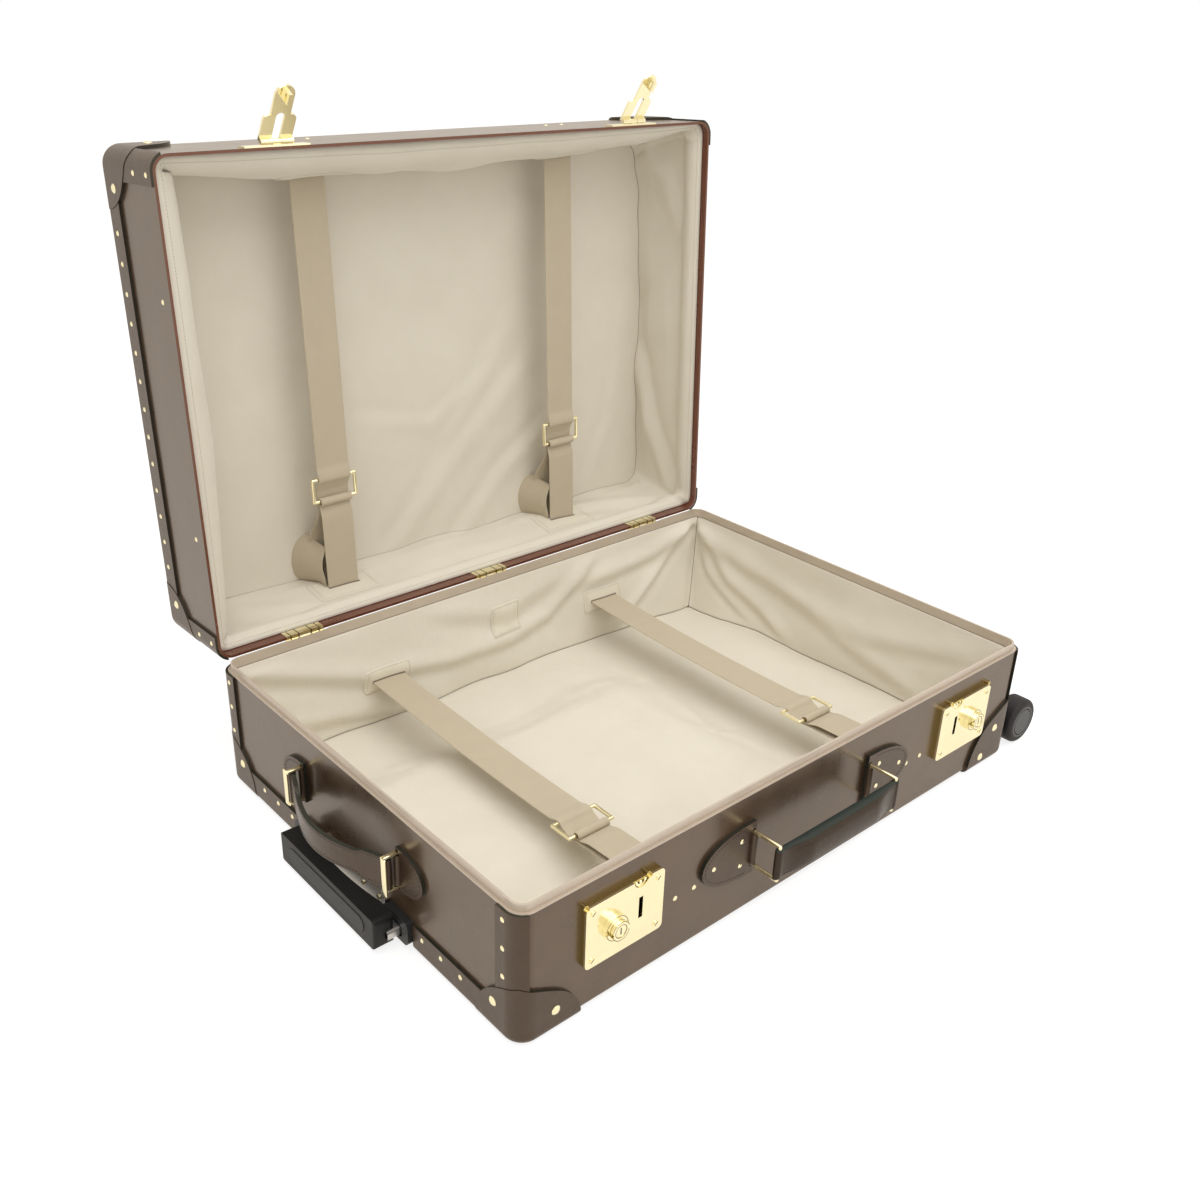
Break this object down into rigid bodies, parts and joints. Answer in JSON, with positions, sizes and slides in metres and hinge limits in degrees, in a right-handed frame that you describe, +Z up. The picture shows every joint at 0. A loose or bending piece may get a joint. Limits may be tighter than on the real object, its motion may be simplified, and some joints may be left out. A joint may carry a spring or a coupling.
{
  "type": "suitcase",
  "caption": "Hard trolley suitcase, open: fibre board base and hinged lid with leather corners, brass locks and hasps, cloth linings, packing straps, carry handles, pull-out grip and wheels.",
  "frame": {"origin": "centre of the footprint of the open case's bounding box, on the floor", "axes": "+X along the case's long side towards its wheels, +Y from the front handle towards the lid hinge, +Z up"},
  "size_m": [0.7532, 0.6384, 0.65],
  "materials": {
    "fibre_board": "satin",
    "lip": "satin",
    "lining_cloth": "matte",
    "strap_cloth": "matte",
    "leather": "satin",
    "brass": "polished",
    "tube_metal": "satin",
    "steel": "satin",
    "black_plastic": "satin",
    "grey_rubber": "matte",
    "tyre": "matte"
  },
  "bodies": {
    "base": {"base_shell": "fibre_board", "rim_lip": "lip", "base_lining": "lining_cloth", "base_corner_caps": "leather", "base_edge_strips": "leather", "base_corner_strips": "leather", "base_rivets": "brass", "base_cap_rivets": "brass", "base_patches": "strap_cloth", "base_straps": "strap_cloth", "base_buckle_straps": "strap_cloth", "base_buckles": "brass", "lock_cases": "brass", "lock_plates": "brass", "screws": "brass", "handle_chapes": "leather", "side_chapes": "leather", "trolley_outer_tubes": "tube_metal", "trolley_foot_bracket": "steel", "trolley_bezels": "black_plastic", "trolley_end_plate": "steel", "wheel_brackets": "black_plastic", "wheel_axles": "steel", "hinge_base_leaves": "brass", "hinge_pins": "brass"},
    "lid": {"lid_shell": "fibre_board", "lid_lining": "lining_cloth", "lid_corner_caps": "leather", "lid_edge_strips": "leather", "lid_corner_strips": "leather", "lid_rivets": "brass", "lid_cap_rivets": "brass", "lid_patches": "strap_cloth", "lid_straps": "strap_cloth", "lid_buckle_straps": "strap_cloth", "lid_buckles": "brass", "hinge_lid_leaves": "brass", "hasp_seats": "brass", "hasp_pins": "brass"},
    "hasp_left": {"hasp_left": "brass"},
    "hasp_right": {"hasp_right": "brass"},
    "lock_knob_left": {"lock_knob_left": "brass"},
    "lock_knob_right": {"lock_knob_right": "brass"},
    "key_cylinder_left": {"key_cylinder_left": "brass"},
    "key_cylinder_right": {"key_cylinder_right": "brass"},
    "handle_ring_left": {"handle_ring_left": "brass"},
    "handle_ring_right": {"handle_ring_right": "brass"},
    "handle_grip": {"handle_grip": "leather"},
    "side_ring_front": {"side_ring_front": "brass"},
    "side_ring_rear": {"side_ring_rear": "brass"},
    "side_handle_strap": {"side_handle_strap": "leather"},
    "trolley_middle": {"trolley_middle_tubes": "tube_metal"},
    "trolley_top": {"trolley_inner_tubes": "tube_metal", "trolley_grip": "black_plastic"},
    "trolley_release_bar": {"trolley_release_bar": "grey_rubber"},
    "wheel_front": {"wheel_hub_front": "grey_rubber", "wheel_tyre_front": "tyre"},
    "wheel_rear": {"wheel_hub_rear": "grey_rubber", "wheel_tyre_rear": "tyre"}
  },
  "joints": [
    {"name": "lid_hinge", "type": "hinge", "parent": "base", "child": "lid", "pos_m": [-0.0094, 0.19087, 0.1266], "axis": [-1, 0, 0], "range_deg": [-92.5, 0]},
    {"name": "hasp_left_hinge", "type": "hinge", "parent": "lid", "child": "hasp_left", "pos_m": [-0.2229, 0.21462, 0.60192], "axis": [-1, 0, 0], "range_deg": [-55, 50]},
    {"name": "hasp_right_hinge", "type": "hinge", "parent": "lid", "child": "hasp_right", "pos_m": [0.2041, 0.21462, 0.60192], "axis": [-1, 0, 0], "range_deg": [-55, 50]},
    {"name": "lock_knob_left_turn", "type": "hinge", "parent": "base", "child": "lock_knob_left", "pos_m": [-0.2515, -0.28663, 0.078], "axis": [0, 1, 0], "range_deg": [-40, 0]},
    {"name": "lock_knob_right_turn", "type": "hinge", "parent": "base", "child": "lock_knob_right", "pos_m": [0.2327, -0.28663, 0.078], "axis": [0, 1, 0], "range_deg": [0, 40]},
    {"name": "key_cylinder_left_turn", "type": "hinge", "parent": "lock_knob_left", "child": "key_cylinder_left", "pos_m": [-0.2515, -0.29063, 0.078], "axis": [0, 1, 0], "range_deg": [-90, 0]},
    {"name": "key_cylinder_right_turn", "type": "hinge", "parent": "lock_knob_right", "child": "key_cylinder_right", "pos_m": [0.2327, -0.29063, 0.078], "axis": [0, 1, 0], "range_deg": [0, 90]},
    {"name": "handle_ring_left_swing", "type": "hinge", "parent": "base", "child": "handle_ring_left", "pos_m": [-0.0889, -0.28523, 0.072], "axis": [0, 0, 1], "range_deg": [-45, 45]},
    {"name": "handle_ring_right_swing", "type": "hinge", "parent": "base", "child": "handle_ring_right", "pos_m": [0.0701, -0.28523, 0.072], "axis": [0, 0, 1], "range_deg": [-45, 45]},
    {"name": "handle_grip_pivot", "type": "hinge", "parent": "handle_ring_left", "child": "handle_grip", "pos_m": [-0.0889, -0.31263, 0.072], "axis": [0, 0, 1], "range_deg": [-45, 45]},
    {"name": "side_ring_front_swing", "type": "hinge", "parent": "base", "child": "side_ring_front", "pos_m": [-0.3434, -0.12463, 0.077], "axis": [0, 0, 1], "range_deg": [-35, 35]},
    {"name": "side_ring_rear_swing", "type": "hinge", "parent": "base", "child": "side_ring_rear", "pos_m": [-0.3434, 0.03137, 0.077], "axis": [0, 0, 1], "range_deg": [-35, 35]},
    {"name": "side_strap_pivot", "type": "hinge", "parent": "side_ring_front", "child": "side_handle_strap", "pos_m": [-0.3524, -0.12463, 0.077], "axis": [0, 0, 1], "range_deg": [-35, 35]},
    {"name": "trolley_slide", "type": "slide", "parent": "base", "child": "trolley_top", "axis": [-1, 0, 0], "range_m": [0, 0.5]},
    {"name": "trolley_middle_slide", "type": "slide", "parent": "base", "child": "trolley_middle", "axis": [-1, 0, 0], "range_m": [0, 0.25]},
    {"name": "trolley_release_press", "type": "slide", "parent": "trolley_top", "child": "trolley_release_bar", "axis": [1, 0, 0], "range_m": [0, 0.0025], "stiffness_N_per_m": 400, "springref_m": -0.003},
    {"name": "wheel_front_spin", "type": "hinge", "parent": "base", "child": "wheel_front", "pos_m": [0.3516, -0.27163, 0.0254], "axis": [0, 1, 0], "continuous": true},
    {"name": "wheel_rear_spin", "type": "hinge", "parent": "base", "child": "wheel_rear", "pos_m": [0.3516, 0.17837, 0.0254], "axis": [0, 1, 0], "continuous": true}
  ],
  "couplings": [
    {"joint": "handle_ring_right_swing", "follows": "handle_ring_left_swing", "ratio": 1},
    {"joint": "handle_grip_pivot", "follows": "handle_ring_left_swing", "ratio": -1},
    {"joint": "side_ring_rear_swing", "follows": "side_ring_front_swing", "ratio": 1},
    {"joint": "side_strap_pivot", "follows": "side_ring_front_swing", "ratio": -1},
    {"joint": "trolley_middle_slide", "follows": "trolley_slide", "ratio": 0.5}
  ]
}
